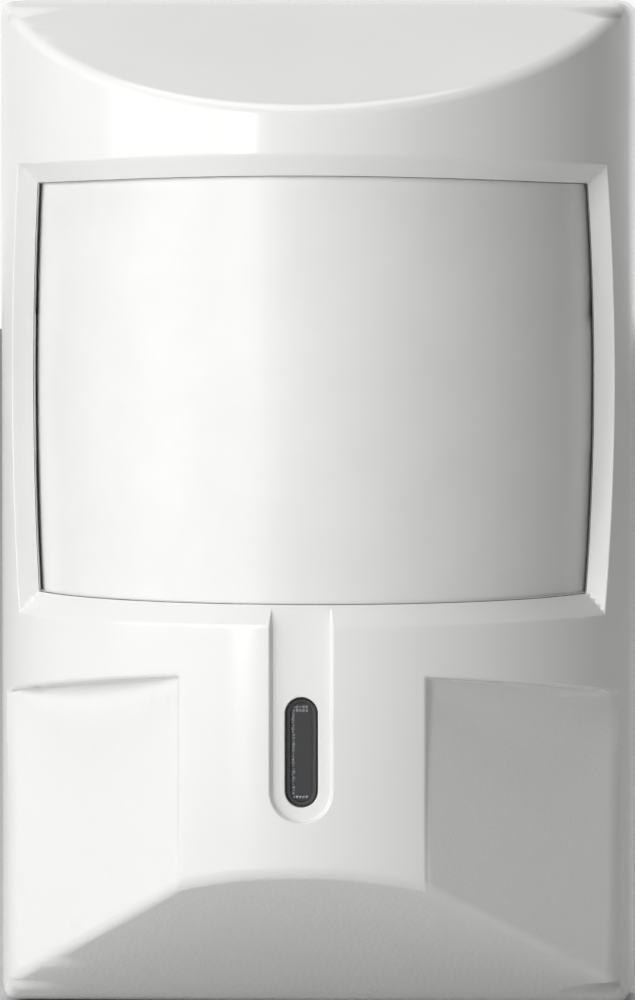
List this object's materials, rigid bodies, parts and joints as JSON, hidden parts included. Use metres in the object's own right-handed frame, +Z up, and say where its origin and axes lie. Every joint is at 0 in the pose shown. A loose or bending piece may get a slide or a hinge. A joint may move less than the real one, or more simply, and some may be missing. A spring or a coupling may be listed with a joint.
{
  "type": "motion sensor",
  "caption": "Wall-mounted passive infrared motion sensor: white cover with a large curved lens window and smoked indicator slot, on a wall tray that holds a sliding circuit board.",
  "frame": {"origin": "centre of the back face of the wall tray, on the wall", "axes": "+Z up, +X to the viewer's right, +Y into the wall, so the front faces -Y"},
  "size_m": [0.063, 0.043, 0.0994],
  "materials": {
    "cover_white": "gloss moulded ABS, with fine matt grain on the side panels and bottom facet",
    "tray_white": "satin moulded ABS",
    "lens_milk": "milky polyethylene sheet, smooth outside and grooved inside",
    "frame_white": "satin moulded ABS",
    "smoked": "dark smoked acrylic, polished",
    "board_green": "solder mask over glass fibre board",
    "black_moulding": "fine matt moulding",
    "grey_rubber": "soft matt rubber",
    "terminal_green": "satin nylon",
    "clear_acrylic": "clear polished acrylic",
    "led_red": "tinted clear epoxy",
    "relay_blue": "satin moulding",
    "trimmer_blue": "satin moulding",
    "cap_red": "satin moulding",
    "cap_yellow": "satin moulding",
    "varistor_blue": "dipped epoxy",
    "zinc_steel": "zinc plated",
    "nickel": "bright nickel plate",
    "gold_can": "thin gold coloured plate",
    "brass": "bright",
    "aluminium": "drawn can",
    "silicon": "coated silicon, dark mirror"
  },
  "bodies": {
    "base": {"rear_base": "tray_white", "cable_seal": "grey_rubber"},
    "cover": {"front_cover": "cover_white", "fresnel_lens": "lens_milk", "lens_frame": "frame_white", "indicator_window": "smoked"},
    "board": {"circuit_board": "board_green", "terminal_housing": "terminal_green", "terminal_clamp_1": "nickel", "terminal_clamp_2": "nickel", "terminal_clamp_3": "nickel", "terminal_clamp_4": "nickel", "terminal_clamp_5": "nickel", "terminal_clamp_6": "nickel", "pyro_header": "gold_can", "pyro_can": "gold_can", "pyro_filter": "silicon", "pyro_element": "nickel", "sensor_gasket": "black_moulding", "status_led": "led_red", "light_pipe_holder": "black_moulding", "light_pipe": "clear_acrylic", "tamper_body": "black_moulding", "tamper_spring": "zinc_steel", "relay_case": "relay_blue", "relay_base": "black_moulding", "pin_header": "black_moulding", "trimmer_body": "trimmer_blue", "microcontroller": "black_moulding", "amplifier_chip": "black_moulding", "capacitor_1": "aluminium", "capacitor_2": "aluminium", "capacitor_3": "aluminium", "voltage_regulator": "black_moulding", "crystal_can": "nickel", "varistor": "varistor_blue"},
    "cover_lock": {"cover_screw": "zinc_steel"},
    "board_lock": {"board_screw": "zinc_steel"},
    "tamper_button": {"tamper_plunger": "black_moulding"},
    "trimmer": {"trimmer_rotor": "brass"},
    "pulse_cap": {"jumper_cap_pulse": "cap_red"},
    "led_cap": {"jumper_cap_led": "cap_yellow"},
    "terminal_1": {"terminal_screw_1": "nickel"},
    "terminal_2": {"terminal_screw_2": "nickel"},
    "terminal_3": {"terminal_screw_3": "nickel"},
    "terminal_4": {"terminal_screw_4": "nickel"},
    "terminal_5": {"terminal_screw_5": "nickel"},
    "terminal_6": {"terminal_screw_6": "nickel"}
  },
  "joints": [
    {"name": "cover_swing", "type": "hinge", "parent": "base", "child": "cover", "pos_m": [0, -0.00915, 0.0497], "axis": [-1, 0, 0], "range_deg": [0, 50]},
    {"name": "board_slide", "type": "slide", "parent": "base", "child": "board", "axis": [0, 0, 1], "range_m": [-0.0035, 0.0035]},
    {"name": "cover_screw_turn", "type": "hinge", "parent": "base", "child": "cover_lock", "pos_m": [0, -0.01225, -0.0485], "axis": [0, 0, 1], "continuous": true},
    {"name": "board_screw_turn", "type": "hinge", "parent": "base", "child": "board_lock", "pos_m": [0, -0.009, -0.0316], "axis": [0, 1, 0], "continuous": true},
    {"name": "tamper_press", "type": "slide", "parent": "board", "child": "tamper_button", "axis": [0, 1, 0], "range_m": [0, 0.001], "stiffness_N_per_m": 150, "springref_m": -0.002, "deforming": ["tamper_spring"]},
    {"name": "trimmer_turn", "type": "hinge", "parent": "board", "child": "trimmer", "pos_m": [-0.016, -0.0122, -0.0083], "axis": [0, 1, 0], "range_deg": [-130, 130]},
    {"name": "pulse_cap_pull", "type": "slide", "parent": "board", "child": "pulse_cap", "axis": [0, -1, 0], "range_m": [0, 0.0065]},
    {"name": "led_cap_pull", "type": "slide", "parent": "board", "child": "led_cap", "axis": [0, -1, 0], "range_m": [0, 0.0065]},
    {"name": "terminal_screw_1_turn", "type": "hinge", "parent": "board", "child": "terminal_1", "pos_m": [-0.013, -0.0168, 0.0312], "axis": [0, 1, 0], "continuous": true},
    {"name": "terminal_screw_2_turn", "type": "hinge", "parent": "board", "child": "terminal_2", "pos_m": [-0.0078, -0.0168, 0.0312], "axis": [0, 1, 0], "continuous": true},
    {"name": "terminal_screw_3_turn", "type": "hinge", "parent": "board", "child": "terminal_3", "pos_m": [-0.0026, -0.0168, 0.0312], "axis": [0, 1, 0], "continuous": true},
    {"name": "terminal_screw_4_turn", "type": "hinge", "parent": "board", "child": "terminal_4", "pos_m": [0.0026, -0.0168, 0.0312], "axis": [0, 1, 0], "continuous": true},
    {"name": "terminal_screw_5_turn", "type": "hinge", "parent": "board", "child": "terminal_5", "pos_m": [0.0078, -0.0168, 0.0312], "axis": [0, 1, 0], "continuous": true},
    {"name": "terminal_screw_6_turn", "type": "hinge", "parent": "board", "child": "terminal_6", "pos_m": [0.013, -0.0168, 0.0312], "axis": [0, 1, 0], "continuous": true}
  ]
}
